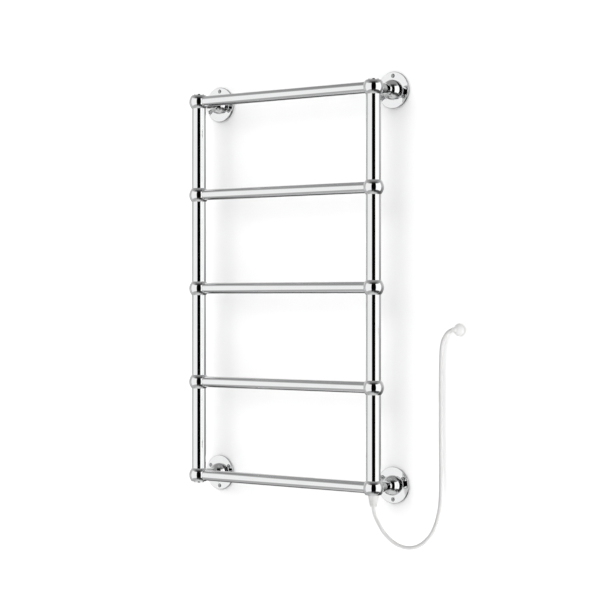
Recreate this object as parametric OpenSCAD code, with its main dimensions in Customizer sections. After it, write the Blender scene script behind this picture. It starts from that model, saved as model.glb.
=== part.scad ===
// Wall-mounted towel warmer rack: two uprights and five bars joined by ball fittings, held off the
// wall by four flanged brackets, with an electric element in the right-hand upright and its lead.
// X runs along the bars, Y points into the wall and Z is up. The origin lies on the wall, midway
// between the four flanges. Fittings and bars are numbered from the top.

/* [Rack] */
// Distance between the axes of the two uprights
rack_w = 500; // [400:10:700]
// Height from one bar to the next, axis to axis
bar_pitch = 220; // [150:5:260]
// Distance from the wall to the axes of the uprights
stand_off = 81; // [76:1:110]

/* [Tubes] */
// Outside diameter of the uprights
upright_d = 33; // [30:0.5:33]
// Outside diameter of the bars and of the bracket arms
bar_d = 25; // [20:0.5:26]
// Wall thickness of the tubes
tube_wall = 1.5; // [1:0.25:2]

/* [Ball fittings] */
// Diameter of the balls
ball_d = 46; // [45:0.5:48]
// Diameter of the passage inside the balls
passage_d = 16; // [13:1:17]

/* [Wall brackets] */
// Diameter of a flange
flange_d = 82; // [80:1:95]
// Thickness of a flange
flange_t = 5; // [5:0.5:7]
// Diameter of the circle that the wall screws lie on
screw_circle_d = 63.5; // [62:0.5:66]
// Diameter of a wall screw's shank behind the flange
screw_d = 4.8; // [4.6:0.1:5]
// How far a wall screw stands out behind the flange, tip included
screw_reach = 33; // [20:1:50]

/* [Lead] */
// Diameter of the lead
cord_d = 8; // [6:0.5:9]
// Length of the tapered sleeve that the lead leaves by
sleeve_l = 26; // [24:0.5:40]
// Diameter of the round plug
plug_d = 27; // [27:0.5:34]

/* [Hidden] */
$fn = 48;
eps = 0.01;
fit_gap = 0.05;
bar_count = 5;
bars = [1:bar_count];
gaps = [1:bar_count - 1];
LEFT = -1;
RIGHT = 1;
UPPER = 1;
LOWER = -1;

ball_r = ball_d / 2;
bar_r = bar_d / 2;
upright_r = upright_d / 2;
passage_r = passage_d / 2;

// Seats inside a ball, measured from its centre
upright_seat = 13;
bar_seat = 13.5;
arm_seat = 16;
port_r = 6;
// Flat that an end plug or the element's fitting closes
end_flat = 14.8;
end_thread_r = 10;
end_thread_seat = 8;

// End plugs
cap_r = 12;
cap_h = 3;
cap_edge = 0.8;
cap_hex_r = 3.5;
cap_hex_depth = 3.4;
seal_r = 0.85;
seal_ring_r = 10.9;
seal_groove_w = 1.9;
seal_groove_h = 1.75;

// Brackets
bracket_ball_y = -7.5;
bracket_ball_seat = 18.5;
flange_r = flange_d / 2;
flange_bevel = 1.5;
stud_r = 4;
stud_depth = 7;
arm_stud_gap = 0.5;
bolt_head_r = 8;
bolt_head_h = 4.2;
bolt_reach = 13;
grub_r = 2.5;
grub_l = 11.5;
grub_hex_r = 1.45;
grub_hex_depth = 3;
screw_hole_r = 2.6;
screw_neck_r = 1.9;
screw_head_r = 4.7;
screw_head_h = 2.4;
screw_crown_h = 0.4;
screw_tip_l = 5;
cross_l = 5;
cross_w = 1;
cross_depth = 1.5;

// Electric element in the right-hand upright
fitting_bore_r = 4;
fitting_hex_r = 9.5;
fitting_hex_h = 6;
sheath_r = 5;
sheath_wall = 0.8;
sheath_l = 395;
core_r = 4;
core_l = 350;
limiter_r = 3.2;
limiter_l = 18;
lead_wire_r = 0.9;
lead_wire_ring_r = 2.2;
lead_wire_l = 14;
leads = 3;

// Tapered sleeve under the lower right fitting
sleeve_top_r = 12;
sleeve_rim_h = 3;
sleeve_tip_r = 7.5;
sleeve_well_r = 10;
sleeve_well_h = 8;
sleeve_rib_h = 1.6;
sleeve_rib_gap = 3.6;
sleeve_ribs = 4;

// Flat round mains plug, with its face 4.5 mm off the wall, where a socket's face lies
plug_r = plug_d / 2;
plug_base_h = 2;
plug_dome_h = 7;
plug_axis_h = 6;
plug_neck_reach = 14;
plug_neck_root_r = 5.6;
plug_neck_tip_r = 5;
blade_gap = 12.7;
blade_t = 1.5;
blade_h = 6.3;
blade_l = 17.5;
blade_root = 4;
blade_up = 4;
pin_r = 2.4;
pin_root_r = 2.2;
pin_l = 20;
pin_drop = 11.9;

// Route of the lead, from the tip of the tapered sleeve to the neck of the plug: down out of the
// sleeve, round a hanging loop, up beside the rack and over to the plug
ROUTE = [
    [0, 0, 0],
    [0.5, 0, -9.2],
    [2.9, 0.2, -17.7],
    [7.4, 1, -27.7],
    [13.6, 2.6, -39.9],
    [22.9, 5.5, -55.2],
    [36.9, 10.4, -71.2],
    [54.5, 16, -82.6],
    [72.2, 21.5, -87.4],
    [89.8, 27, -85.9],
    [106.3, 33, -77.4],
    [119.4, 39.5, -62.9],
    [127.9, 46, -45],
    [131.6, 52, -26.6],
    [133.7, 57.5, -6.2],
    [133.9, 62, 14.8],
    [132.6, 66, 40.8],
    [130.7, 69, 73.8],
    [129.8, 70, 117.8],
    [129, 70.5, 172.8],
    [129, 70.5, 232.8],
    [129, 70.5, 269.8],
    [129.3, 70.5, 300.8],
    [129.9, 70.5, 327.8],
    [131, 70.5, 346.3],
    [133.3, 70.5, 359.6],
    [137.6, 70.5, 370.6],
    [143.9, 70.5, 379.3],
    [151.3, 70.5, 385.4],
    [159.5, 70.5, 388.6]
];
cord_sides = 8;
cord_steps = 2;

function row_z(row) = ((bar_count + 1) / 2 - row) * bar_pitch;
function side_x(side) = side * rack_w / 2;
function corner(side, level) = [side_x(side), 0, level * row_z(1)];

// Where the lead leaves the sleeve, and where the plug's axis meets its face
cord_exit = [side_x(RIGHT), -stand_off, row_z(bar_count) - end_flat - sleeve_l];
route_end = cord_exit + ROUTE[len(ROUTE) - 1];
plug_face = route_end + [plug_neck_reach, plug_axis_h, 0];

SIDES = [["left", LEFT], ["right", RIGHT]];
CORNERS = [for (level = [["upper", UPPER], ["lower", LOWER]], side = SIDES)
    [str(level[0], "_", side[0]), side[1], level[1]]];

// ---- Tubes ----

module tube(r, l) {
    difference() {
        cylinder(r = r, h = l);
        translate([0, 0, -eps]) cylinder(r = r - tube_wall, h = l + 2 * eps);
    }
}

module bar(i) {
    l = rack_w - 2 * bar_seat;
    color("gainsboro")
        translate([-l / 2, -stand_off, row_z(i)])
            rotate([0, 90, 0]) tube(bar_r, l);
}

module upright(side, i) {
    color("gainsboro")
        translate([side_x(side), -stand_off, row_z(i + 1) + upright_seat])
            tube(upright_r, bar_pitch - 2 * upright_seat);
}

// ---- Ball fittings ----

// Seat for an upright, along +Z
module upright_socket() {
    translate([0, 0, upright_seat]) cylinder(r = upright_r + fit_gap, h = ball_r);
}

// Flat and threaded hole that close the end of an upright, along +Z
module end_hole() {
    translate([0, 0, end_flat]) cylinder(r = ball_r, h = ball_r);
    translate([0, 0, end_thread_seat]) cylinder(r = end_thread_r, h = ball_r);
}

// One ball with its sockets, centred on the origin: side points away from the bar
module ball_fitting(side, top_end, bottom_end, has_arm) {
    difference() {
        rotate([0, 0, 90 - side * 90]) sphere(r = ball_r);
        cylinder(r = passage_r, h = 2 * ball_d, center = true);
        if (top_end) end_hole();
        else upright_socket();
        mirror([0, 0, 1]) {
            if (bottom_end) end_hole();
            else upright_socket();
        }
        rotate([0, -side * 90, 0]) {
            cylinder(r = port_r, h = ball_d);
            translate([0, 0, bar_seat]) cylinder(r = bar_r + fit_gap, h = ball_d);
        }
        if (has_arm) rotate([-90, 0, 0]) {
            translate([0, 0, arm_seat]) cylinder(r = bar_r + fit_gap, h = ball_d);
            translate([0, 0, arm_seat - stud_depth]) cylinder(r = stud_r + fit_gap, h = ball_d);
        }
    }
}

module joint(side, i) {
    end_row = i == 1 || i == bar_count;
    color("silver")
        translate([side_x(side), -stand_off, row_z(i)])
            ball_fitting(side, i == 1, i == bar_count, end_row);
}

// ---- Wall brackets ----
// Each is drawn about the centre of its flange's back face, with the wall at Y = 0.

// Face of the arm against each ball
arm_front_y = -stand_off + arm_seat;
arm_back_y = bracket_ball_y - bracket_ball_seat;
grub_y = arm_back_y + stud_depth / 2;

module arm(side, level) {
    color("silver")
        translate(corner(side, level) + [0, arm_front_y, 0])
            rotate([-90, 0, 0]) tube(bar_r, arm_back_y - arm_front_y);
}

module bracket_ball(side, level) {
    color("silver") translate(corner(side, level)) difference() {
        translate([0, bracket_ball_y, 0]) rotate([90, 0, 0]) sphere(r = ball_r);
        translate([-ball_d, -flange_t, -ball_d]) cube(2 * ball_d);
        translate([0, arm_back_y, 0]) rotate([90, 0, 0]) cylinder(r = bar_r + fit_gap, h = ball_d);
        translate([0, arm_back_y + stud_depth, 0]) rotate([90, 0, 0]) cylinder(r = stud_r + fit_gap, h = ball_d);
        translate([0, -bolt_reach - 1, 0]) rotate([-90, 0, 0]) cylinder(r = stud_r + fit_gap, h = ball_d);
        translate([0, grub_y, 0]) mirror([0, 0, 1]) cylinder(r = grub_r + fit_gap, h = ball_d);
    }
}

// Three places on the screw circle: the odd screw is at the top of an upper flange and at the
// bottom of a lower one
module at_screws(level) {
    for (k = [0:2])
        rotate([0, -level * 90 - k * 120, 0]) translate([screw_circle_d / 2, 0, 0]) children();
}

// Turned disc with a bevelled front rim, along -Y from the wall
module flange_blank() {
    rotate([90, 0, 0]) {
        cylinder(r = flange_r, h = flange_t - flange_bevel);
        translate([0, 0, flange_t - flange_bevel])
            cylinder(r1 = flange_r, r2 = flange_r - flange_bevel, h = flange_bevel);
    }
}

module flange(side, level) {
    color("silver") translate(corner(side, level)) difference() {
        flange_blank();
        rotate([90, 0, 0]) {
            translate([0, 0, -eps]) cylinder(r = stud_r + fit_gap, h = 2 * flange_t);
            translate([0, 0, -eps]) cylinder(r1 = bolt_head_r + fit_gap, r2 = stud_r + fit_gap, h = bolt_head_h);
        }
        at_screws(level) rotate([90, 0, 0]) {
            translate([0, 0, -eps]) cylinder(r = screw_hole_r, h = 2 * flange_t);
            translate([0, 0, flange_t - screw_head_h])
                cylinder(r1 = screw_hole_r, r2 = screw_head_r + fit_gap, h = screw_head_h + eps);
        }
    }
}

// Countersunk wall screw along Y: the head's rim is flush with the flange's front
module wall_screw() {
    difference() {
        rotate([-90, 0, 0]) {
            translate([0, 0, -flange_t - screw_crown_h])
                cylinder(r1 = screw_head_r - 2 * screw_crown_h, r2 = screw_head_r, h = screw_crown_h);
            translate([0, 0, -flange_t]) cylinder(r1 = screw_head_r, r2 = screw_hole_r - fit_gap, h = screw_head_h);
            translate([0, 0, -flange_t]) cylinder(r = screw_neck_r, h = flange_t);
            cylinder(d = screw_d, h = screw_reach - screw_tip_l);
            translate([0, 0, screw_reach - screw_tip_l])
                cylinder(r1 = screw_d / 2, r2 = 0, h = screw_tip_l);
        }
        translate([0, -flange_t - screw_crown_h, 0]) {
            cube([cross_l, 2 * cross_depth, cross_w], center = true);
            cube([cross_w, 2 * cross_depth, cross_l], center = true);
        }
    }
}

module wall_screws(side, level) {
    color("gray") translate(corner(side, level)) at_screws(level) wall_screw();
}

module at_corners() {
    for (c = CORNERS) translate(corner(c[1], c[2])) children();
}

// Studs that pull the arms between the two balls
module arm_studs() {
    front = arm_front_y - stud_depth + arm_stud_gap;
    back = arm_back_y + stud_depth - arm_stud_gap;
    color("dimgray") at_corners()
        translate([0, front, 0]) rotate([-90, 0, 0]) cylinder(r = stud_r, h = back - front);
}

// Countersunk bolts from behind the flanges into the bracket balls
module flange_bolts() {
    color("dimgray") at_corners() rotate([90, 0, 0]) {
        cylinder(r1 = bolt_head_r, r2 = stud_r, h = bolt_head_h);
        cylinder(r = stud_r, h = bolt_reach);
    }
}

// Set screws under the bracket balls, which lock the studs
module grub_screws() {
    color("dimgray") at_corners()
        translate([0, grub_y, -stud_r - grub_l]) difference() {
            cylinder(r = grub_r, h = grub_l);
            translate([0, 0, -eps]) cylinder(r = grub_hex_r, h = grub_hex_depth + eps, $fn = 6);
        }
}

// ---- End plugs ----

// Low plug with a hexagon recess, screwed into an end along -Z
module end_plug() {
    difference() {
        union() {
            translate([0, 0, end_flat]) cylinder(r = cap_r, h = cap_h - cap_edge);
            translate([0, 0, end_flat + cap_h - cap_edge])
                cylinder(r1 = cap_r, r2 = cap_r - cap_edge, h = cap_edge);
            translate([0, 0, end_thread_seat + 1])
                cylinder(r = end_thread_r - fit_gap, h = end_flat - end_thread_seat - 1);
        }
        translate([0, 0, end_flat + cap_h - cap_hex_depth])
            cylinder(r = cap_hex_r, h = cap_hex_depth + eps, $fn = 6);
        seal_groove();
    }
}

module seal_groove() {
    translate([0, 0, end_flat - eps]) difference() {
        cylinder(r = seal_ring_r + seal_groove_w / 2, h = seal_groove_h + eps);
        translate([0, 0, -eps])
            cylinder(r = seal_ring_r - seal_groove_w / 2, h = seal_groove_h + 3 * eps);
    }
}

module seal_ring() {
    translate([0, 0, end_flat + seal_groove_h / 2])
        rotate_extrude() translate([seal_ring_r, 0]) circle(r = seal_r);
}

module at_end(side, level) {
    translate(corner(side, level) + [0, -stand_off, 0])
        mirror([0, 0, level == LOWER ? 1 : 0]) children();
}

module end_plug_at(side, level) {
    color("silver") at_end(side, level) end_plug();
}

module end_plug_seals() {
    color("black") {
        at_end(LEFT, UPPER) seal_ring();
        at_end(RIGHT, UPPER) seal_ring();
        at_end(LEFT, LOWER) seal_ring();
    }
}

// ---- Electric element ----
// Drawn about the lower right ball, upside down: the part's own +Z points out of the ball.

module at_heater() {
    at_end(RIGHT, LOWER) children();
}

// Brass fitting in the ball's threaded end, with its hexagon inside the sleeve
module heater_fitting() {
    color("darkkhaki") at_heater() difference() {
        union() {
            translate([0, 0, end_thread_seat + 1])
                cylinder(r = end_thread_r - fit_gap, h = end_flat - end_thread_seat - 1);
            translate([0, 0, end_flat]) cylinder(r = fitting_hex_r, h = fitting_hex_h, $fn = 6);
        }
        translate([0, 0, end_thread_seat])
            cylinder(r = sheath_r + fit_gap, h = end_flat - end_thread_seat);
        cylinder(r = fitting_bore_r, h = ball_d);
    }
}

module heater_seal() {
    ring_r = end_thread_r - 2 * seal_r;
    color("black") at_heater()
        translate([0, 0, end_thread_seat + seal_r / 2])
            rotate_extrude() translate([ring_r, 0]) circle(r = seal_r / 2);
}

module heater_sheath() {
    color("lightgray") at_heater() translate([0, 0, end_flat - sheath_l]) difference() {
        union() {
            translate([0, 0, sheath_r]) cylinder(r = sheath_r, h = sheath_l - sheath_r);
            translate([0, 0, sheath_r]) sphere(r = sheath_r);
        }
        translate([0, 0, sheath_r]) cylinder(r = sheath_r - sheath_wall, h = sheath_l);
    }
}

module heater_core() {
    color("dimgray") at_heater()
        translate([0, 0, end_flat - sheath_l + sheath_r + 1]) cylinder(r = core_r, h = core_l);
}

module thermal_limiter() {
    color("white") at_heater()
        translate([0, 0, end_flat - sheath_l + sheath_r + core_l + 2])
            cylinder(r = limiter_r, h = limiter_l);
}

// Three insulated wires from the element through the fitting
module heater_leads() {
    colours = ["black", "white", "green"];
    for (k = [0:leads - 1])
        color(colours[k]) at_heater()
            rotate([0, 0, k * 360 / leads])
                translate([lead_wire_ring_r, 0, end_flat - lead_wire_l / 2])
                    cylinder(r = lead_wire_r, h = lead_wire_l);
}

// ---- Lead and plug ----

// Tapered sleeve with ribs around its lower half and a well for the fitting's hexagon
module strain_relief() {
    taper_l = sleeve_l - sleeve_rim_h;
    slope = (sleeve_top_r - sleeve_tip_r) / taper_l;
    color("white") at_heater() translate([0, 0, end_flat]) difference() {
        union() {
            cylinder(r = sleeve_top_r, h = sleeve_rim_h);
            translate([0, 0, sleeve_rim_h])
                cylinder(r1 = sleeve_top_r, r2 = sleeve_tip_r, h = taper_l);
        }
        translate([0, 0, -eps]) cylinder(r = sleeve_well_r, h = sleeve_well_h);
        for (k = [1:sleeve_ribs]) {
            rib_z = sleeve_l - k * sleeve_rib_gap;
            outer = sleeve_tip_r + slope * (sleeve_l - rib_z) + 1;
            translate([0, 0, rib_z]) difference() {
                cylinder(r = outer, h = sleeve_rib_h);
                translate([0, 0, -eps]) cylinder(r = outer - 2, h = sleeve_rib_h + 2 * eps);
            }
        }
    }
}

// Cubic B-spline through a list of points, which starts and ends at the first and last of them
function spline_point(a, b, c, d, t) =
    (pow(1 - t, 3) * a + (3 * pow(t, 3) - 6 * t * t + 4) * b
        + (1 + 3 * t + 3 * t * t - 3 * pow(t, 3)) * c + pow(t, 3) * d) / 6;
function near(list, i) = list[min(max(i, 0), len(list) - 1)];
function smooth(list, steps) = [
    for (i = [-1:len(list) - 1], k = [0:steps - 1])
        spline_point(near(list, i - 1), near(list, i), near(list, i + 1), near(list, i + 2), k / steps),
    list[len(list) - 1]
];
function unit(v) = v / norm(v);

// Tube swept along a line of points, with flat ends square to it
module swept_tube(line, r, sides, first_dir, last_dir) {
    last = len(line) - 1;
    rings = [for (i = [0:last])
        let (
            along = i == 0 ? first_dir : i == last ? last_dir : unit(line[i + 1] - line[i - 1]),
            across = unit(cross(along, [0, 1, 0])),
            up = cross(across, along)
        )
        for (k = [0:sides - 1])
            line[i] + r * (cos(k * 360 / sides) * across + sin(k * 360 / sides) * up)
    ];
    quads = [for (i = [0:last - 1], k = [0:sides - 1])
        let (k2 = (k + 1) % sides)
        [i * sides + k, i * sides + k2, (i + 1) * sides + k2, (i + 1) * sides + k]
    ];
    start = [for (k = [sides - 1:-1:0]) k];
    end = [for (k = [0:sides - 1]) last * sides + k];
    polyhedron(points = rings, faces = concat(quads, [start, end]), convexity = 4);
}

module power_cord() {
    line = [for (p = smooth(ROUTE, cord_steps)) cord_exit + p];
    color("white") swept_tube(line, cord_d / 2, cord_sides, [0, 0, -1], [1, 0, 0]);
}

// Blades and earth pin, drawn from the plug's face along +Y, rooted in the body
module blades() {
    for (side = [LEFT, RIGHT])
        translate([side * blade_gap / 2 - blade_t / 2, -blade_root, blade_up - blade_h / 2])
            cube([blade_t, blade_root + blade_l, blade_h]);
}

module ground_pin() {
    translate([0, 0, blade_up - pin_drop]) rotate([-90, 0, 0]) {
        translate([0, 0, -blade_root]) cylinder(r = pin_root_r, h = blade_root);
        cylinder(r = pin_r, h = pin_l - pin_r);
        translate([0, 0, pin_l - pin_r]) sphere(r = pin_r);
    }
}

// Flat domed round body with a short tapered neck towards the lead
module plug_body() {
    plug_dome_r = (plug_r * plug_r + plug_dome_h * plug_dome_h) / (2 * plug_dome_h);
    color("white") translate(plug_face) difference() {
        union() {
            intersection() {
                rotate([90, 0, 0]) cylinder(r = plug_r, h = plug_r);
                translate([0, plug_dome_r - plug_base_h - plug_dome_h, 0]) sphere(r = plug_dome_r);
            }
            translate([-plug_neck_reach, -plug_axis_h, 0]) rotate([0, 90, 0])
                cylinder(r1 = plug_neck_tip_r, r2 = plug_neck_root_r, h = plug_neck_reach - plug_neck_root_r);
        }
        blades();
        ground_pin();
    }
}

module plug_blades() {
    color("goldenrod") translate(plug_face) blades();
}

module plug_ground_pin() {
    color("goldenrod") translate(plug_face) ground_pin();
}

for (i = bars)
    bar(i);
for (side = SIDES, i = gaps)
    upright(side[1], i);
for (side = SIDES, i = bars)
    joint(side[1], i);
for (c = CORNERS) {
    arm(c[1], c[2]);
    bracket_ball(c[1], c[2]);
    flange(c[1], c[2]);
    wall_screws(c[1], c[2]);
}
arm_studs();
flange_bolts();
grub_screws();
end_plug_at(LEFT, UPPER);  // end_plug_top_left
end_plug_at(RIGHT, UPPER);  // end_plug_top_right
end_plug_at(LEFT, LOWER);  // end_plug_bottom_left
end_plug_seals();
heater_fitting();
heater_seal();
heater_sheath();
heater_core();
thermal_limiter();
heater_leads();
strain_relief();
power_cord();
plug_body();
plug_blades();
plug_ground_pin();
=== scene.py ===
import math

import bmesh
import bpy
from mathutils import Matrix, Vector


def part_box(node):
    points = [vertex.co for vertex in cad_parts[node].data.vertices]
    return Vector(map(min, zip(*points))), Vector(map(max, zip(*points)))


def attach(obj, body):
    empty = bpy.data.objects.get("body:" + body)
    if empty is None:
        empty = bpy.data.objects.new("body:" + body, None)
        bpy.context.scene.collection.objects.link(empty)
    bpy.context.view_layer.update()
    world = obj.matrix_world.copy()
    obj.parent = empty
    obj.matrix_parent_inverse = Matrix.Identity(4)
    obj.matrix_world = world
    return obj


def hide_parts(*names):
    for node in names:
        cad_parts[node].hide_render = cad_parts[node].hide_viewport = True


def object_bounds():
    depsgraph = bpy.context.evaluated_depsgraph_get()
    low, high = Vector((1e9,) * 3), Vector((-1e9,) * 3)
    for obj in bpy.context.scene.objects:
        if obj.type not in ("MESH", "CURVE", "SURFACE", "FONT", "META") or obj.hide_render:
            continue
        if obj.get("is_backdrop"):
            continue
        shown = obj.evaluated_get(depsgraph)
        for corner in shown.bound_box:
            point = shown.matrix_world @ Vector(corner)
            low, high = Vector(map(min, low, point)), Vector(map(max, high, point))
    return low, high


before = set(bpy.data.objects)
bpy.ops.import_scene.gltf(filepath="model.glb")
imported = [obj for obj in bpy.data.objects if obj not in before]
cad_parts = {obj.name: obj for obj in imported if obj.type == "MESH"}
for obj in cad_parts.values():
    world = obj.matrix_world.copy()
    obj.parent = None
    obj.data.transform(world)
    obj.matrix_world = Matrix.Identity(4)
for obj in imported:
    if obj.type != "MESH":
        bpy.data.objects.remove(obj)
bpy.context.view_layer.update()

MM = 0.001
CORNERS = ("upper_left", "upper_right", "lower_left", "lower_right")
SIDES = ("left", "right")
ROWS = range(1, 6)
ROUND = 96  # faces around a turned surface


# ---- Places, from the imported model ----

def centre(node):
    low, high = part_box(node)
    return (Vector(low) + Vector(high)) / 2


def size(node):
    low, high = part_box(node)
    return Vector(high) - Vector(low)


RACK_Y = centre("upright_right_1").y
SIDE_X = {side: centre(f"upright_{side}_1").x for side in SIDES}
ROW_Z = {row: centre(f"bar_{row}").z for row in ROWS}
BAR_R = size("bar_1").z / 2
UPRIGHT_R = size("upright_right_1").x / 2
BALL_R = size("bracket_ball_upper_right").x / 2
FLANGE_R = 41 * MM
FLANGE_T = 5 * MM
BRACKET_BALL_Y = -7.5 * MM
SCREW_CIRCLE_R = 31.75 * MM
END_FLAT = 14.8 * MM
SLEEVE_TIP_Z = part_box("strain_relief")[0][2]


def ball_at(side, row):
    return Vector((SIDE_X[side], RACK_Y, ROW_Z[row]))


def corner_at(corner):
    level, side = corner.split("_")
    return Vector((SIDE_X[side], 0, ROW_Z[1 if level == "upper" else 5]))


# ---- Camera ----

CAMERA_AT = (2.4755, -3.3054, -0.0276)
CAMERA_AZIMUTH = math.radians(36.97)


def make_camera():
    data = bpy.data.cameras.new("camera")
    data.sensor_width = 36
    data.lens = 107.1
    camera = bpy.data.objects.new("camera", data)
    camera.location = CAMERA_AT
    camera.rotation_euler = (math.radians(90), 0, CAMERA_AZIMUTH)
    bpy.context.scene.collection.objects.link(camera)
    bpy.context.scene.camera = camera


make_camera()


# ---- Materials ----

def node(tree, kind, **values):
    made = tree.nodes.new(kind)
    for name, value in values.items():
        setattr(made, name, value)
    return made


def noise(tree, scale, detail=3.0, rough=0.5, stretch=None):
    """A noise texture in object space; stretch scales the three axes apart."""
    texture = node(tree, "ShaderNodeTexNoise")
    texture.inputs["Scale"].default_value = scale
    texture.inputs["Detail"].default_value = detail
    texture.inputs["Roughness"].default_value = rough
    place = node(tree, "ShaderNodeTexCoord")
    source = place.outputs["Object"]
    if stretch:
        mapping = node(tree, "ShaderNodeMapping")
        mapping.inputs["Scale"].default_value = stretch
        tree.links.new(source, mapping.inputs["Vector"])
        source = mapping.outputs["Vector"]
    tree.links.new(source, texture.inputs["Vector"])
    return texture.outputs["Fac"]


def ranged(tree, value, low, high, to_low, to_high):
    """Eases from to_low to to_high while the value goes from low to high."""
    made = node(tree, "ShaderNodeMapRange", interpolation_type="SMOOTHSTEP")
    ends = {"From Min": low, "From Max": high, "To Min": to_low, "To Max": to_high}
    for name, number in ends.items():
        made.inputs[name].default_value = number
    tree.links.new(value, made.inputs["Value"])
    return made.outputs["Result"]


def maths(tree, operation, *values):
    made = node(tree, "ShaderNodeMath", operation=operation)
    for socket, value in zip(made.inputs, values):
        if isinstance(value, (int, float)):
            socket.default_value = value
        else:
            tree.links.new(value, socket)
    return made.outputs[0]


def mixed(tree, share, one, other):
    """A colour between two: each is a colour or a socket."""
    made = node(tree, "ShaderNodeMix", data_type="RGBA")
    tree.links.new(share, made.inputs["Factor"])
    for socket, value in ((made.inputs[6], one), (made.inputs[7], other)):
        if isinstance(value, tuple):
            socket.default_value = (*value, 1)
        else:
            tree.links.new(value, socket)
    return made.outputs[2]


def new_material(name, **uniform):
    """A material with a Principled shader whose uniform values are set on its own sockets."""
    material = bpy.data.materials.new(name)
    material.use_nodes = True
    tree = material.node_tree
    shader = tree.nodes["Principled BSDF"]
    for socket, value in uniform.items():
        shader.inputs[socket.replace("_", " ")].default_value = value
    return material, tree, shader


def add_bump(tree, shader, heights, strength):
    """Sums heights, each a socket with its share, into one bump of that strength in metres."""
    total = None
    for socket, share in heights:
        part = maths(tree, "MULTIPLY", socket, share)
        total = part if total is None else maths(tree, "ADD", total, part)
    bump = node(tree, "ShaderNodeBump")
    bump.inputs["Strength"].default_value = 1.0
    bump.inputs["Distance"].default_value = strength
    tree.links.new(total, bump.inputs["Height"])
    tree.links.new(bump.outputs["Normal"], shader.inputs["Normal"])


def edge_wear(tree, low=0.505, high=0.56):
    """From 0 to 1 on outward edges."""
    geometry = node(tree, "ShaderNodeNewGeometry")
    return ranged(tree, geometry.outputs["Pointiness"], low, high, 0.0, 1.0)


def chrome(name, tint, dull):
    """Plated mirror finish: water haze, polishing marks and faint wear on the edges."""
    material, tree, shader = new_material(name, Metallic=1.0)
    haze = ranged(tree, noise(tree, 9, 4, 0.6), 0.45, 0.75, 0.0, 1.0)
    spots = ranged(tree, noise(tree, 140, 2, 0.5), 0.62, 0.72, 0.0, 1.0)
    polish = noise(tree, 900, 2, 0.5)
    rough = dull
    for mark, share in ((haze, 0.02), (spots, 0.025), (polish, 0.02), (edge_wear(tree), 0.06)):
        rough = maths(tree, "MULTIPLY_ADD", mark, share, rough)
    tree.links.new(rough, shader.inputs["Roughness"])
    darker = tuple(c * 0.94 for c in tint)
    colour = mixed(tree, maths(tree, "MULTIPLY", haze, 0.5), tint, darker)
    tree.links.new(colour, shader.inputs["Base Color"])
    add_bump(tree, shader, [(polish, 0.4), (noise(tree, 55, 2), 1.0)], 0.0008 * MM)
    return material


def machined(name, tint, dark, rough, scratch_scale=(60, 60, 900)):
    """Machined metal: fine lines along one way, blotches and rubbed edges."""
    material, tree, shader = new_material(name, Metallic=1.0)
    lines = noise(tree, 1, 3, 0.6, scratch_scale)
    blotch = ranged(tree, noise(tree, 60, 4, 0.6), 0.35, 0.7, 0.0, 1.0)
    rubbed = tuple(min(1.0, c * 1.12) for c in tint)
    colour = mixed(tree, edge_wear(tree), mixed(tree, blotch, tint, dark), rubbed)
    tree.links.new(colour, shader.inputs["Base Color"])
    value = maths(tree, "MULTIPLY_ADD", lines, 0.16, rough - 0.08)
    tree.links.new(maths(tree, "MULTIPLY_ADD", blotch, 0.08, value), shader.inputs["Roughness"])
    add_bump(tree, shader, [(lines, 1.0), (blotch, 0.3)], 0.02 * MM)
    return material


def plastic(name, tint, shade, rough, grain, bump):
    """Moulded plastic or rubber: fine moulded grain, slight mottling and handled edges."""
    material, tree, shader = new_material(name)
    mottle = ranged(tree, noise(tree, 35, 4, 0.6), 0.35, 0.7, 0.0, 1.0)
    fine = noise(tree, grain, 3, 0.6)
    wear = edge_wear(tree)
    colour = mixed(tree, mottle, tint, shade)
    colour = mixed(tree, maths(tree, "MULTIPLY", wear, 0.3), colour, tint)
    tree.links.new(colour, shader.inputs["Base Color"])
    value = maths(tree, "MULTIPLY_ADD", fine, 0.12, rough - 0.06)
    value = maths(tree, "MULTIPLY_ADD", mottle, 0.05, value)
    tree.links.new(maths(tree, "MULTIPLY_ADD", wear, -0.06, value), shader.inputs["Roughness"])
    add_bump(tree, shader, [(fine, 1.0), (mottle, 0.3)], bump)
    return material


CHROME = chrome("chrome_plate", (0.93, 0.935, 0.94), 0.0)
# The screws' chrome is tinted far darker than the rack's chrome: painted shade, standing in for the
# shade in the countersinks round the screw heads.
SHADE_DARKENED_SCREW_CHROME = chrome("chrome_screws_painted_shade", (0.55, 0.555, 0.56), 0.04)
ZINC = machined("zinc_plate", (0.62, 0.63, 0.62), (0.5, 0.52, 0.53), 0.35)
BRASS = machined("machined_brass", (0.8, 0.62, 0.33), (0.66, 0.48, 0.24), 0.28)
STAINLESS = machined("drawn_stainless", (0.64, 0.63, 0.61), (0.52, 0.5, 0.48), 0.32, (900, 900, 40))
CERAMIC = plastic("fired_ceramic", (0.86, 0.83, 0.75), (0.74, 0.7, 0.62), 0.55, 900, 0.03 * MM)
SEAL = plastic("seal_rubber", (0.022, 0.022, 0.024), (0.035, 0.034, 0.033), 0.6, 1400, 0.02 * MM)
WIRE = plastic("wire_silicone", (0.7, 0.71, 0.66), (0.6, 0.61, 0.57), 0.45, 700, 0.01 * MM)
WHITE_PLASTIC = plastic("white_moulding", (0.77, 0.77, 0.765), (0.73, 0.73, 0.72), 0.34, 2200,
                        0.012 * MM)
LEAD_SLEEVE = plastic("lead_sleeve", (0.76, 0.76, 0.755), (0.72, 0.72, 0.71), 0.42, 1500, 0.015 * MM)

# Pieces inside the rack, which keep their CAD meshes
for name, material in {
    "arm_studs": ZINC, "flange_bolts": ZINC, "grub_screws": ZINC, "end_plug_seals": SEAL,
    "heater_fitting": BRASS, "heater_seal": SEAL, "heater_sheath": STAINLESS,
    "heater_core": CERAMIC, "thermal_limiter": CERAMIC, "heater_leads": WIRE,
}.items():
    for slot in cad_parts[name].material_slots:
        slot.link = "OBJECT"
        slot.material = material


# ---- Mesh tools ----

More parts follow.
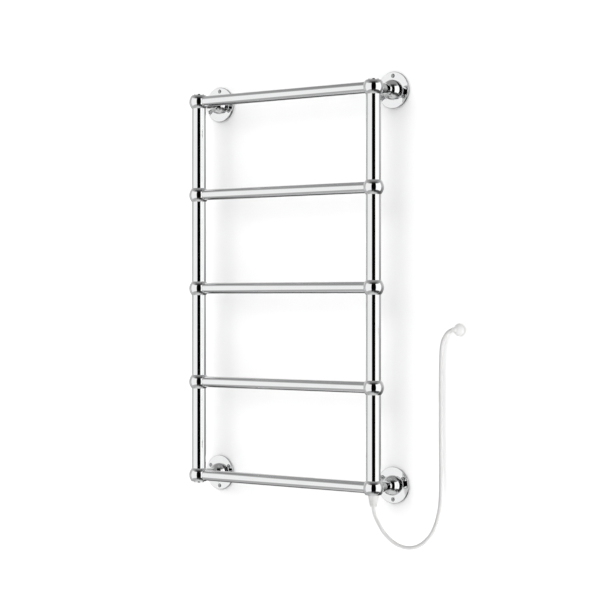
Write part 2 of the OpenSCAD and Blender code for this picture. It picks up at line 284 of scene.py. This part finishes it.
UP, DOWN, TO_WALL, TO_ROOM = (0, 0, 1), (0, 0, -1), (0, 1, 0), (0, -1, 0)


def frame_along(origin, axis):
    """A matrix whose Z runs along axis, with its origin at a point."""
    return Matrix.Translation(origin) @ Vector(axis).to_track_quat("Z", "Y").to_matrix().to_4x4()


def arc(cx, cy, radius, start, end, steps):
    """Points on a circle's arc, angles in degrees, in a profile's (radius, height) plane."""
    angles = [math.radians(start + (end - start) * k / steps) for k in range(steps + 1)]
    return [(cx + radius * math.cos(a), cy + radius * math.sin(a)) for a in angles]


def turn(bm, profile, place, closed=True, faces=ROUND):
    """Turns a profile of (radius, height) points about the Z of place. Returns its rings."""
    rings = []
    for radius, height in profile:
        if radius < 1e-7:
            rings.append([bm.verts.new(place @ Vector((0, 0, height)))])
            continue
        angles = [2 * math.pi * k / faces for k in range(faces)]
        rings.append([
            bm.verts.new(place @ Vector((radius * math.cos(a), radius * math.sin(a), height)))
            for a in angles
        ])
    following = rings[1:] + (rings[:1] if closed else [])
    for one, other in zip(rings, following):
        for k in range(faces):
            corners = []
            for vert in (one[k % len(one)], one[(k + 1) % faces % len(one)],
                         other[(k + 1) % faces % len(other)], other[k % len(other)]):
                if vert not in corners:
                    corners.append(vert)
            if len(corners) > 2:
                bm.faces.new(corners)
    return rings


def add_piece(name, bm, material, nodes, sharp=32):
    """Makes the mesh an object that rides on the rack and stands for CAD nodes."""
    bmesh.ops.recalc_face_normals(bm, faces=bm.faces)
    mesh = bpy.data.meshes.new(name)
    bm.to_mesh(mesh)
    bm.free()
    mesh.shade_smooth()
    mesh.set_sharp_from_angle(angle=math.radians(sharp))
    mesh.materials.append(material)
    piece = bpy.data.objects.new(name, mesh)
    bpy.context.scene.collection.objects.link(piece)
    declare(piece, nodes)
    return piece


def declare(piece, nodes):
    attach(piece, "root")
    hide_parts(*nodes)


def cut(bm, *cutters, operation="DIFFERENCE"):
    """Cuts meshes out of a mesh, or joins them to it, and returns the result."""
    def as_object(source):
        bmesh.ops.recalc_face_normals(source, faces=source.faces)
        mesh = bpy.data.meshes.new("scratch")
        source.to_mesh(mesh)
        source.free()
        made = bpy.data.objects.new("scratch", mesh)
        bpy.context.scene.collection.objects.link(made)
        return made

    body = as_object(bm)
    tools = [as_object(cutter) for cutter in cutters]
    for tool in tools:
        step = body.modifiers.new("cut", "BOOLEAN")
        step.operation = operation
        step.solver = "EXACT"
        step.object = tool
    shape = body.evaluated_get(bpy.context.evaluated_depsgraph_get())
    result = bmesh.new()
    result.from_mesh(shape.to_mesh())
    shape.to_mesh_clear()
    for made in (body, *tools):
        mesh = made.data
        bpy.data.objects.remove(made)
        bpy.data.meshes.remove(mesh)
    return result


# ---- Sleeve, lead and plug ----

# The lead's route from the tip of the sleeve, in metres, as the CAD model has it
ROUTE = [
    (0, 0, 0), (0.0005, 0, -0.0092), (0.0029, 0.0002, -0.0177),
    (0.0074, 0.001, -0.0277), (0.0136, 0.0026, -0.0399), (0.0229, 0.0055, -0.0552),
    (0.0369, 0.0104, -0.0712), (0.0545, 0.016, -0.0826), (0.0722, 0.0215, -0.0874),
    (0.0898, 0.027, -0.0859), (0.1063, 0.033, -0.0774), (0.1194, 0.0395, -0.0629),
    (0.1279, 0.046, -0.045), (0.1316, 0.052, -0.0266), (0.1337, 0.0575, -0.0062),
    (0.1339, 0.062, 0.0148), (0.1326, 0.066, 0.0408), (0.1307, 0.069, 0.0738),
    (0.1298, 0.07, 0.1178), (0.129, 0.0705, 0.1728), (0.129, 0.0705, 0.2328),
    (0.129, 0.0705, 0.2698), (0.1293, 0.0705, 0.3008), (0.1299, 0.0705, 0.3278),
    (0.131, 0.0705, 0.3463), (0.1333, 0.0705, 0.3596), (0.1376, 0.0705, 0.3706),
    (0.1439, 0.0705, 0.3793), (0.1513, 0.0705, 0.3854), (0.1595, 0.0705, 0.3886),
]
CORD_D = 8 * MM
CORD_EXIT = Vector((SIDE_X["right"], RACK_Y, SLEEVE_TIP_Z))
SLEEVE_L, SLEEVE_TOP_R, SLEEVE_TIP_R = 26 * MM, 12 * MM, 7.5 * MM
SLEEVE_WELL_R, SLEEVE_WELL_H = 10 * MM, 8 * MM
RIB_H, RIB_PITCH = 1.6 * MM, 3.6 * MM
PLUG_NECK = CORD_EXIT + Vector(ROUTE[-1])
NECK_REACH, NECK_L, NECK_TIP_R, NECK_ROOT_R, NECK_AXIS_H = 14 * MM, 8.4 * MM, 4.9 * MM, 5.5 * MM, 6 * MM
PLUG_FACE = PLUG_NECK + Vector((NECK_REACH, NECK_AXIS_H, 0))
PLUG_R, PLUG_BASE, PLUG_DOME = 13.5 * MM, 2 * MM, 7 * MM
BLADE_T, BLADE_L, BLADE_H, BLADE_ROOT = 1.5 * MM, 17.5 * MM, 6.3 * MM, 4 * MM
BLADE_X, BLADE_UP = 6.35 * MM, 4 * MM
PIN_R, PIN_ROOT_R, PIN_L, PIN_Z = 2.4 * MM, 2.2 * MM, 20 * MM, -7.9 * MM


def spline_through(points, steps):
    """The cubic B-spline that starts and ends at the first and last point."""
    points = [Vector(p) for p in points]
    line = []
    for i in range(-1, len(points)):
        a, b, c, d = (points[min(max(i + k, 0), len(points) - 1)] for k in (-1, 0, 1, 2))
        for k in range(steps):
            t = k / steps
            line.append((
                (1 - t) ** 3 * a + (3 * t**3 - 6 * t * t + 4) * b
                + (1 + 3 * t + 3 * t * t - 3 * t**3) * c + t**3 * d
            ) / 6)
    line.append(points[-1])
    kept = [line[0]]
    for point in line[1:]:
        if (point - kept[-1]).length > 0.2 * MM:
            kept.append(point)
    return kept


def make_cord():
    data = bpy.data.curves.new("cord", "CURVE")
    data.dimensions = "3D"
    data.bevel_depth = CORD_D / 2
    data.bevel_resolution = 7
    data.use_fill_caps = True
    line = spline_through(ROUTE, 8)
    spline = data.splines.new("POLY")
    spline.points.add(len(line) - 1)
    for point, place in zip(spline.points, line):
        point.co = (*(CORD_EXIT + place), 1)
    spline.use_smooth = True
    data.materials.append(LEAD_SLEEVE)
    piece = bpy.data.objects.new("lead", data)
    bpy.context.scene.collection.objects.link(piece)
    declare(piece, ["power_cord"])
    return piece, sum((b - a).length for a, b in zip(line, line[1:]))


def make_sleeve():
    """Tapered sleeve: a rim under the ball, a long cone with soft ribs, and a rounded tip."""
    rim = 3 * MM
    edge = 0.6 * MM
    tip_edge = 0.8 * MM
    mouth = CORD_D / 2 + 0.1 * MM
    place = frame_along(CORD_EXIT + Vector((0, 0, SLEEVE_L)), DOWN)

    def cone(height):
        return SLEEVE_TOP_R + (SLEEVE_TIP_R - SLEEVE_TOP_R) * (height - rim) / (SLEEVE_L - rim)

    profile = [(SLEEVE_WELL_R, SLEEVE_WELL_H), (SLEEVE_WELL_R, 0), (SLEEVE_TOP_R - edge, 0)]
    profile += arc(SLEEVE_TOP_R - edge, edge, edge, -90, 0, 4)
    profile += [(SLEEVE_TOP_R, rim - 0.4 * MM), (SLEEVE_TOP_R - 0.5 * MM, rim)]
    for k in (4, 3, 2, 1):
        start = SLEEVE_L - k * RIB_PITCH
        for share, depth in ((0.0, 0.0), (0.15, 0.6), (0.5, 0.9), (0.85, 0.6), (1.0, 0.0)):
            height = start + share * RIB_H
            profile.append((cone(height) - depth * MM, height))
    profile += arc(SLEEVE_TIP_R - tip_edge, SLEEVE_L - tip_edge, tip_edge, 12, 90, 5)
    profile += [(mouth, SLEEVE_L), (mouth, SLEEVE_L - edge), (0, SLEEVE_L - edge), (0, SLEEVE_WELL_H)]
    bm = bmesh.new()
    turn(bm, profile, place)
    return add_piece("tapered_sleeve", bm, WHITE_PLASTIC, ["strain_relief"])


def make_plug_body():
    """Flat domed body with a short neck, blended by a fine remesh as one moulding."""
    dome = bmesh.new()
    edge = 0.6 * MM
    curve = (PLUG_R**2 + PLUG_DOME**2) / (2 * PLUG_DOME)
    middle = PLUG_BASE + PLUG_DOME - curve
    rim = math.degrees(math.asin((PLUG_BASE - middle) / curve))
    turn(dome, [(0, 0), (PLUG_R - edge, 0)] + arc(PLUG_R - edge, edge, edge, -90, 0, 3)
         + arc(0, middle, curve, rim, 90, 24), frame_along(PLUG_FACE, TO_ROOM), closed=False)
    neck = bmesh.new()
    turn(neck, [(0, 0), (NECK_TIP_R, 0)] + arc(0, NECK_L, NECK_ROOT_R, 0, 90, 12),
         frame_along(PLUG_NECK, (1, 0, 0)), closed=False)
    bm = cut(dome, neck, operation="UNION")
    mesh = bpy.data.meshes.new("moulding")
    bmesh.ops.recalc_face_normals(bm, faces=bm.faces)
    bm.to_mesh(mesh)
    bm.free()
    scratch = bpy.data.objects.new("moulding", mesh)
    bpy.context.scene.collection.objects.link(scratch)
    remesh = scratch.modifiers.new("remesh", "REMESH")
    remesh.mode = "VOXEL"
    remesh.voxel_size = 0.35 * MM
    smooth = scratch.modifiers.new("smooth", "SMOOTH")
    smooth.factor = 0.5
    smooth.iterations = 10
    shape = scratch.evaluated_get(bpy.context.evaluated_depsgraph_get())
    moulded = bmesh.new()
    moulded.from_mesh(shape.to_mesh())
    shape.to_mesh_clear()
    bpy.data.objects.remove(scratch)
    bpy.data.meshes.remove(mesh)
    return add_piece("plug_moulding", moulded, WHITE_PLASTIC, ["plug_body"], sharp=50)


def make_blades():
    bm = bmesh.new()
    for side in (-1, 1):
        blade = bmesh.new()
        bmesh.ops.create_cube(blade, size=1)
        bmesh.ops.scale(blade, verts=blade.verts, vec=(BLADE_T, BLADE_L + BLADE_ROOT, BLADE_H))
        for vert in blade.verts:
            if vert.co.y > 0:
                vert.co.z *= 0.78
                vert.co.x *= 0.6
        bmesh.ops.bevel(blade, geom=blade.edges[:], offset=0.25 * MM, segments=3, affect="EDGES")
        hole = bmesh.new()
        turn(hole, [(0, -3 * MM), (1.6 * MM, -3 * MM), (1.6 * MM, 3 * MM), (0, 3 * MM)],
             frame_along((0, 7 * MM, 0), (1, 0, 0)), closed=False, faces=32)
        blade = cut(blade, hole)
        mesh = bpy.data.meshes.new("blade")
        blade.to_mesh(mesh)
        blade.free()
        before = len(bm.verts)
        bm.from_mesh(mesh)
        bm.verts.ensure_lookup_table()
        middle = Vector((side * BLADE_X, (BLADE_L - BLADE_ROOT) / 2, BLADE_UP))
        bmesh.ops.translate(bm, verts=bm.verts[before:], vec=PLUG_FACE + middle)
    return add_piece("blades", bm, BRASS, ["plug_blades"])


def make_pin():
    bm = bmesh.new()
    root = [(0, -BLADE_ROOT), (PIN_ROOT_R, -BLADE_ROOT), (PIN_ROOT_R, 0), (PIN_R, 0)]
    turn(bm, root + arc(0, PIN_L - PIN_R, PIN_R, 0, 90, 10),
         frame_along(PLUG_FACE + Vector((0, 0, PIN_Z)), TO_WALL), closed=False, faces=48)
    return add_piece("earth_pin", bm, BRASS, ["plug_ground_pin"])


lead, lead_length = make_cord()
sleeve = make_sleeve()
plug_pieces = [make_plug_body(), make_blades(), make_pin()]


# ---- Tubes ----

TUBE_WALL = 1.5 * MM
TUBE_RIM = 0.4 * MM


def tube_profile(radius, length):
    """Section of a tube with rounded rims, from height 0 to length."""
    inner = radius - TUBE_WALL
    outer_rim = arc(radius - TUBE_RIM, TUBE_RIM, TUBE_RIM, -90, 0, 4)
    section = [(inner, 0)] + outer_rim
    section += [(r, length - h) for r, h in reversed(outer_rim)]
    return section + [(inner, length)]


def make_tube(name, radius, start, end):
    bm = bmesh.new()
    turn(bm, tube_profile(radius, (end - start).length), frame_along(start, end - start))
    return add_piece("tube_" + name, bm, CHROME, [name])


for row in ROWS:
    low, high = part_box(f"bar_{row}")
    start, end = (Vector((x, RACK_Y, ROW_Z[row])) for x in (low[0], high[0]))
    make_tube(f"bar_{row}", BAR_R, start, end)
for side in SIDES:
    for gap in range(1, 5):
        low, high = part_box(f"upright_{side}_{gap}")
        start, end = (Vector((SIDE_X[side], RACK_Y, z)) for z in (low[2], high[2]))
        make_tube(f"upright_{side}_{gap}", UPRIGHT_R, start, end)


# ---- Ball fittings ----

SEAT_GAP = 0.05 * MM
UPRIGHT_SEAT, BAR_SEAT, ARM_SEAT = 13 * MM, 13.5 * MM, 16 * MM
END_BORE_R, END_BORE_SEAT = 10 * MM, 8 * MM
SKIN_POINTS = 4200
SKIN_MARGIN = math.radians(1.6)


def on_ball(radius):
    """A profile's point on the ball, at a radius from the port's axis."""
    return radius, math.sqrt(BALL_R**2 - radius**2)


def socket_profile(mouth, seat, edge=0.15 * MM):
    """Section of a socket, from the middle of its floor over its rounded mouth to the ball."""
    outer, top = on_ball(mouth + edge)
    rounded = [
        (outer - edge * math.cos(a), top - edge * (1 - math.sin(a)) * 0.6)
        for a in (0.0, math.pi / 6, math.pi / 3, math.pi / 2)
    ]
    return [(0, seat), (mouth, seat)] + rounded + [on_ball(mouth + edge + 0.25 * MM)]


def flat_profile(flat, hole, hole_seat, edge=0.6 * MM, support=0.25 * MM):
    """Section of a flat on the ball with a blind hole, out to the ball."""
    rim = math.sqrt(BALL_R**2 - flat**2)
    end = on_ball(rim + edge)
    rounded = []
    for k in range(5):
        t = k / 4
        rounded.append(tuple(
            (1 - t) ** 2 * a + 2 * t * (1 - t) * b + t**2 * c
            for a, b, c in zip((rim - edge, flat), (rim, flat), end)
        ))
    inner = [(0, hole_seat), (hole, hole_seat), (hole, flat)] if hole else [(0, flat)]
    return inner + [(rim - edge - support, flat)] + rounded + [on_ball(rim + edge + support)]


def spread_on_ball(count):
    """Directions spread evenly over a sphere."""
    golden = math.pi * (3 - math.sqrt(5))
    for k in range(count):
        z = 1 - (2 * k + 1) / count
        flat = math.sqrt(1 - z * z)
        yield Vector((flat * math.cos(golden * k), flat * math.sin(golden * k), z))


def ball_mesh(centre_at, ports):
    """A ball with ports: pairs of an axis and a profile that ends on the ball. The skin between the
    ports is the convex hull of their rims and of evenly spread points."""
    bm = bmesh.new()
    rims, limits = [], []
    for axis, profile in ports:
        rings = turn(bm, profile, frame_along((0, 0, 0), axis), closed=False)
        rims.append(rings[-1])
        limits.append((Vector(axis), math.atan2(*profile[-1])))
    fill = [
        bm.verts.new(way * BALL_R) for way in spread_on_ball(SKIN_POINTS)
        if all(way.angle(axis) > limit + SKIN_MARGIN for axis, limit in limits)
    ]
    skin = [vert for rim in rims for vert in rim] + fill
    rim_of = {vert: number for number, rim in enumerate(rims) for vert in rim}
    made = bmesh.ops.convex_hull(bm, input=skin, use_existing_faces=False)
    faces = [item for item in made["geom"] if isinstance(item, bmesh.types.BMFace)]
    caps = [
        f for f in faces
        if f.verts[0] in rim_of and len({rim_of.get(v, -1) for v in f.verts}) == 1
    ]
    bmesh.ops.delete(bm, geom=caps, context="FACES_ONLY")
    loose = [e for e in bm.edges if not e.link_faces]
    bmesh.ops.delete(bm, geom=loose, context="EDGES")
    bmesh.ops.translate(bm, verts=bm.verts, vec=centre_at)
    return bm


def fitting_ports(side, row):
    upright = socket_profile(UPRIGHT_R + SEAT_GAP, UPRIGHT_SEAT)
    end = flat_profile(END_FLAT, END_BORE_R, END_BORE_SEAT)
    ports = [
        ((1, 0, 0) if side == "left" else (-1, 0, 0), socket_profile(BAR_R + SEAT_GAP, BAR_SEAT)),
        (UP, end if row == 1 else upright),
        (DOWN, end if row == 5 else upright),
    ]
    if row in (1, 5):
        ports.append((TO_WALL, socket_profile(BAR_R + SEAT_GAP, ARM_SEAT)))
    return ports


for side in SIDES:
    for row in ROWS:
        bm = ball_mesh(ball_at(side, row), fitting_ports(side, row))
        add_piece(f"ball_{side}_{row}", bm, CHROME, [f"joint_{side}_{row}"])


# ---- Wall brackets ----

SCREW_HEAD_R, SCREW_HEAD_H, SCREW_HOLE_R = 4.7 * MM, 2.4 * MM, 2.6 * MM
SCREW_R, SCREW_CORE_R, SCREW_NECK_R, SCREW_REACH = 2.4 * MM, 1.65 * MM, 1.9 * MM, 33 * MM
BOLT_HEAD_R, BOLT_HEAD_H, STUD_R = 8 * MM, 4.2 * MM, 4 * MM
GRUB_R, GRUB_START = 2.5 * MM, 4 * MM
CREST_SHARE = 0.28  # half of a thread crest's foot, as a share of the pitch
CROSS = (5.2 * MM, 1.05 * MM, 4 * MM)


def screw_angles(corner):
    start = -90 if corner.startswith("upper") else 90
    return [math.radians(start + 120 * k) for k in range(3)]


def screw_places(corner):
    """Where the three screws stand on the flange's screw circle."""
    return [
        corner_at(corner) + Vector((math.cos(a) * SCREW_CIRCLE_R, 0, -math.sin(a) * SCREW_CIRCLE_R))
        for a in screw_angles(corner)
    ]


def make_arm(corner):
    low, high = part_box(f"arm_{corner}")
    at = corner_at(corner)
    start, end = (at + Vector((0, y, 0)) for y in (low[1], high[1]))
    return make_tube(f"arm_{corner}", BAR_R, start, end)


def make_bracket_ball(corner):
    at = corner_at(corner) + Vector((0, BRACKET_BALL_Y, 0))
    arm_seat = BRACKET_BALL_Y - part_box(f"arm_{corner}")[1][1]
    base = flat_profile(-FLANGE_T - BRACKET_BALL_Y, 0, 0, 0.05 * MM, 0.03 * MM)
    bm = ball_mesh(at, [(TO_ROOM, socket_profile(BAR_R + SEAT_GAP, arm_seat)), (TO_WALL, base)])
    hole = bmesh.new()
    grub = centre("grub_screws")
    turn(hole, [(0, 0), (GRUB_R + SEAT_GAP, 0), (GRUB_R + SEAT_GAP, BALL_R), (0, BALL_R)],
         frame_along(Vector((at.x, grub.y, at.z - GRUB_START)), DOWN), closed=False, faces=32)
    bm = cut(bm, hole)
    return add_piece(f"boss_{corner}", bm, CHROME, [f"bracket_ball_{corner}"])


def make_flange(corner):
    at = corner_at(corner)
    place = frame_along(at, TO_ROOM)
    edge = 0.5 * MM
    bevel = 1.5 * MM
    bm = bmesh.new()
    profile = [(0, 0), (FLANGE_R - edge, 0)] + arc(FLANGE_R - edge, edge, edge, -90, 0, 3)
    profile += arc(FLANGE_R - bevel, FLANGE_T - bevel, bevel, 0, 90, 8) + [(0, FLANGE_T)]
    turn(bm, profile, place, closed=False, faces=128)
    tools = []
    for spot in screw_places(corner):
        tool = bmesh.new()
        head = SCREW_HEAD_R + 0.15 * MM
        turn(tool, [(0, -MM), (SCREW_HOLE_R, -MM), (SCREW_HOLE_R, FLANGE_T - SCREW_HEAD_H),
                    (head, FLANGE_T), (head, FLANGE_T + MM), (0, FLANGE_T + MM)],
             frame_along(spot, TO_ROOM), closed=False, faces=48)
        tools.append(tool)
    tool = bmesh.new()
    head, shank = BOLT_HEAD_R + SEAT_GAP, STUD_R + SEAT_GAP
    turn(tool, [(0, -MM), (head, -MM), (head, 0), (shank, BOLT_HEAD_H), (shank, FLANGE_T + MM),
                (0, FLANGE_T + MM)],
         place, closed=False, faces=48)
    bm = cut(bm, *tools, tool)
    return add_piece(f"rose_{corner}", bm, CHROME, [f"flange_{corner}"])


def thread(bm, place, start, end, tip, pitch=2.1 * MM, faces=24, steps_per_turn=10):
    """A screw's thread, from a plain neck to a point. Returns its first ring, left open."""
    steps = int((tip - start) / pitch * steps_per_turn)
    rings = []
    for i in range(steps + 1):
        height = start + (tip - start) * i / steps
        taper = min(1.0, max(0.0, (tip - height) / (tip - end)))
        fade = min(1.0, (height - start) / pitch)
        ring = []
        for k in range(faces):
            phase = (height / pitch - k / faces) % 1.0
            crest = max(0.0, 1 - abs(phase - 0.5) / CREST_SHARE)
            radius = (SCREW_CORE_R + (SCREW_R - SCREW_CORE_R) * crest * fade) * taper
            radius = max(radius, 0.02 * MM)
            angle = 2 * math.pi * k / faces
            spot = Vector((radius * math.cos(angle), radius * math.sin(angle), height))
            ring.append(bm.verts.new(place @ spot))
        rings.append(ring)
    for one, other in zip(rings, rings[1:]):
        for k in range(faces):
            bm.faces.new((one[k], one[(k + 1) % faces], other[(k + 1) % faces], other[k]))
    bm.faces.new(rings[-1])
    return rings[0]


def screw_mesh(turned):
    """A raised countersunk cross-head screw along +Z, with its wall face at height 0."""
    bm = bmesh.new()
    place = Matrix.Rotation(turned, 4, "Z")
    crown = 1.5 * MM
    crown_curve = ((0, 1), (1.6, 0.99), (2.4, 0.95), (2.9, 0.84), (3.4, 0.62), (3.9, 0.35),
                   (4.35, 0.1), (4.65, 0))
    seat = -FLANGE_T + SCREW_HEAD_H
    head = [(r * MM, -FLANGE_T - h * crown) for r, h in crown_curve]
    head += [(SCREW_HEAD_R, -FLANGE_T + 0.15 * MM), (SCREW_HOLE_R - SEAT_GAP, seat)]
    head += [(SCREW_NECK_R, seat), (SCREW_NECK_R, 0), (0, 0)]
    turn(bm, head, Matrix.Identity(4), closed=False, faces=48)
    tools = []
    for quarter in (0, math.pi / 2):
        tool = bmesh.new()
        bmesh.ops.create_cube(tool, size=1)
        bmesh.ops.scale(tool, verts=tool.verts, vec=CROSS)
        for vert in tool.verts:
            if vert.co.z > 0:
                vert.co.x *= 0.35
                vert.co.y *= 0.6
        shift = Matrix.Translation((0, 0, -FLANGE_T - crown))
        slot_place = place @ shift @ Matrix.Rotation(quarter, 4, "Z")
        bmesh.ops.transform(tool, verts=tool.verts, matrix=slot_place)
        tools.append(tool)
    bm = cut(bm, *tools)
    base = thread(bm, Matrix.Identity(4), -0.2 * MM, SCREW_REACH - 7 * MM, SCREW_REACH)
    bm.faces.new(base)
    mesh = bpy.data.meshes.new("screw")
    bm.to_mesh(mesh)
    bm.free()
    return mesh


SCREWS = [screw_mesh(math.radians(a)) for a in (12, 40, 71)]


def make_wall_screws(corner):
    bm = bmesh.new()
    for screw, spot in zip(SCREWS, screw_places(corner)):
        before = len(bm.verts)
        bm.from_mesh(screw)
        bm.verts.ensure_lookup_table()
        bmesh.ops.transform(bm, verts=bm.verts[before:], matrix=frame_along(spot, TO_WALL))
    # The screws get the darkened chrome: painted shade of the countersinks round their heads.
    return add_piece(f"screws_{corner}", bm, SHADE_DARKENED_SCREW_CHROME, [f"wall_screws_{corner}"])


brackets = []
for corner in CORNERS:
    make_arm(corner)
    brackets += [make_bracket_ball(corner), make_flange(corner)]
    make_wall_screws(corner)


# ---- End plugs ----

CAP_R, CAP_H, CAP_STEM_R, CAP_STEM_SEAT = 12 * MM, 3 * MM, 9.95 * MM, 9 * MM
CAP_HEX_R, CAP_HEX_DEPTH = 3.5 * MM, 3.4 * MM
SEAL_GROOVE_R, SEAL_GROOVE_H = 11.85 * MM, 1.75 * MM


def make_end_plug(name, side, row):
    way = UP if row == 1 else DOWN
    place = frame_along(ball_at(side, row), way)
    top = END_FLAT + CAP_H
    groove = END_FLAT + SEAL_GROOVE_H
    edge = 0.7 * MM
    bm = bmesh.new()
    profile = [(0, CAP_STEM_SEAT), (CAP_STEM_R, CAP_STEM_SEAT), (CAP_STEM_R, groove)]
    profile += [(SEAL_GROOVE_R, groove), (SEAL_GROOVE_R, END_FLAT), (CAP_R, END_FLAT)]
    profile += arc(CAP_R - edge, top - edge, edge, 0, 90, 6)
    profile += [(4.2 * MM, top), (0, top)]
    turn(bm, profile, place, closed=False)
    tool = bmesh.new()
    floor = top - CAP_HEX_DEPTH
    turn(tool, [(0, floor), (CAP_HEX_R, floor), (CAP_HEX_R, top + MM), (0, top + MM)],
         place, closed=False, faces=6)
    bm = cut(bm, tool)
    return add_piece(f"cap_{name}", bm, CHROME, [f"end_plug_{name}"])


make_end_plug("top_left", "left", 1)
make_end_plug("top_right", "right", 1)
make_end_plug("bottom_left", "left", 5)


# ---- Stage and light ----

FLOOR_Z = -1.15
REACH = 9.0


def stage_sheet(name, corners, material):
    mesh = bpy.data.meshes.new(name)
    mesh.from_pydata(corners, [], [(0, 1, 2, 3)])
    mesh.materials.append(material)
    sheet = bpy.data.objects.new(name, mesh)
    bpy.context.scene.collection.objects.link(sheet)
    sheet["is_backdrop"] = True
    sheet.visible_glossy = False
    return sheet


def paint(name, white, rough):
    """Matt paint, seen from the room side only."""
    material, tree, shader = new_material(name, Roughness=rough, Specular_IOR_Level=0.1)
    shader.inputs["Base Color"].default_value = (white, white, white, 1)
    clear = node(tree, "ShaderNodeBsdfTransparent")
    side = node(tree, "ShaderNodeNewGeometry")
    choice = node(tree, "ShaderNodeMixShader")
    tree.links.new(side.outputs["Backfacing"], choice.inputs[0])
    tree.links.new(shader.outputs[0], choice.inputs[1])
    tree.links.new(clear.outputs[0], choice.inputs[2])
    tree.links.new(choice.outputs[0], tree.nodes["Material Output"].inputs["Surface"])
    return material


WALL_CORNERS = [(-REACH, 0.0, FLOOR_Z), (REACH, 0.0, FLOOR_Z), (REACH, 0.0, REACH), (-REACH, 0.0, REACH)]
FLOOR_CORNERS = [
    (x * REACH, y * REACH, FLOOR_Z) for x, y in ((-1, -1), (1, -1), (1, 1), (-1, 1))
]
stage_things = [
    stage_sheet("stage_wall", WALL_CORNERS, paint("wall_paint", 0.9, 0.9)),
    stage_sheet("stage_floor", FLOOR_CORNERS, paint("floor_paint", 0.82, 0.8)),
]


def make_world():
    """The studio that the chrome mirrors: a light grey panel to the left of the photographer and a
    white one to the right, a black gap between them, and softer greys above, below and behind. The
    numbers are angles in degrees, azimuth from the photographer and level above the horizon, and
    brightnesses. The camera itself sees plain white."""
    world = bpy.data.worlds.new("studio")
    bpy.context.scene.world = world
    world.use_nodes = True
    tree = world.node_tree
    way = node(tree, "ShaderNodeTexCoord").outputs["Generated"]
    split = node(tree, "ShaderNodeSeparateXYZ")
    tree.links.new(way, split.inputs[0])
    x, y, z = split.outputs
    sin_a, cos_a = math.sin(CAMERA_AZIMUTH), math.cos(CAMERA_AZIMUTH)
    ahead = maths(tree, "MULTIPLY_ADD", x, sin_a, maths(tree, "MULTIPLY", y, -cos_a))
    right = maths(tree, "MULTIPLY_ADD", x, cos_a, maths(tree, "MULTIPLY", y, sin_a))
    azimuth = maths(tree, "MULTIPLY", maths(tree, "ARCTAN2", right, ahead), 180 / math.pi)
    turned = maths(tree, "ABSOLUTE", azimuth)
    level = maths(tree, "MULTIPLY", maths(tree, "ARCSINE", z), 180 / math.pi)

    def times(*values):
        total = values[0]
        for value in values[1:]:
            total = maths(tree, "MULTIPLY", total, value)
        return total

    def band(value, low, high, soft_low, soft_high):
        return times(ranged(tree, value, low - soft_low, low + soft_low, 0.0, 1.0),
                     ranged(tree, value, high - soft_high, high + soft_high, 1.0, 0.0))

    def over(base, mask, strength):
        kept = times(base, maths(tree, "SUBTRACT", 1.0, mask))
        return maths(tree, "ADD", kept, times(mask, strength))

    high = ranged(tree, level, 26, 60, 0.46, 0.27)
    floor_rise = ranged(tree, level, -68, -50, 1.0, 0.0)
    low = over(ranged(tree, level, -45, -5, 0.41, 0.54), floor_rise, 0.62)
    shade = over(ranged(tree, level, -38, -6, 0.08, 0.3), floor_rise, 0.6)
    low = over(low, ranged(tree, azimuth, -6, 14, 0.0, 1.0), shade)
    low = over(low, ranged(tree, azimuth, -158, -138, 1.0, 0.0), shade)
    light = over(low, ranged(tree, level, -7, 7, 0.0, 1.0), high)
    gap = band(azimuth, -28, 28, 8, 8)
    behind = ranged(tree, turned, 126, 146, 0.0, 1.0)
    beside = ranged(tree, turned, 45, 80, 1.0, 0.0)
    for mask, strength in (
        (times(behind, band(level, 6, 27, 3, 5)), 0.66),
        (times(beside, band(level, 38, 60, 4, 9)), 0.12),
        (times(gap, band(level, -47, 53, 11, 19)), 0.004),
        (times(gap, band(level, -40, 0, 5, 1)), 0.03),
        (times(band(azimuth, -101, -25.5, 8, 1.2), band(level, -31.5, 34, 3, 2.5)), 0.91),
        (times(band(azimuth, 26, 94, 1.2, 4), band(level, -31, 36, 3, 2.5)), 1.07),
        (times(band(azimuth, -25.5, 26, 1.2, 1.2), band(level, -29, 36, 4, 8)), 0.0006),
    ):
        light = over(light, mask, strength)
    seen = node(tree, "ShaderNodeLightPath").outputs["Is Camera Ray"]
    background = tree.nodes["Background"]
    tree.links.new(over(light, seen, 1.0), background.inputs["Color"])
    background.inputs["Strength"].default_value = 1.0


def collected(name, things):
    group = bpy.data.collections.new(name)
    for thing in things:
        group.objects.link(thing)
    return group


def make_sun(name, way, strength, spread, lit, shading=None):
    """A soft lamp for the pieces it is linked to. If shading is given, only what is in it casts a
    shadow. Polished metal mirrors only the studio."""
    data = bpy.data.lights.new(name, "SUN")
    data.energy = strength
    data.angle = math.radians(spread)
    lamp = bpy.data.objects.new(name, data)
    lamp.rotation_euler = Vector(way).to_track_quat("-Z", "Y").to_euler()
    lamp.visible_glossy = False
    lamp.light_linking.receiver_collection = collected(name + "_lights", lit)
    if shading is not None:
        lamp.light_linking.blocker_collection = collected(name + "_shadows", shading)
    bpy.context.scene.collection.objects.link(lamp)


make_world()
make_sun("key", (1.2, 1.0, -1.9), 2.4, 72, stage_things, brackets)
make_sun("fill", (0, 1, -0.3), 0.9, 60, stage_things, [])
make_sun("side", (-0.99, 0.14, -0.08), 1.5, 30, [lead, sleeve, *plug_pieces])
make_sun("front", (-0.2, 1, -0.2), 0.9, 60, plug_pieces)
bpy.context.scene.view_settings.view_transform = "Standard"

low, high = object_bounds()
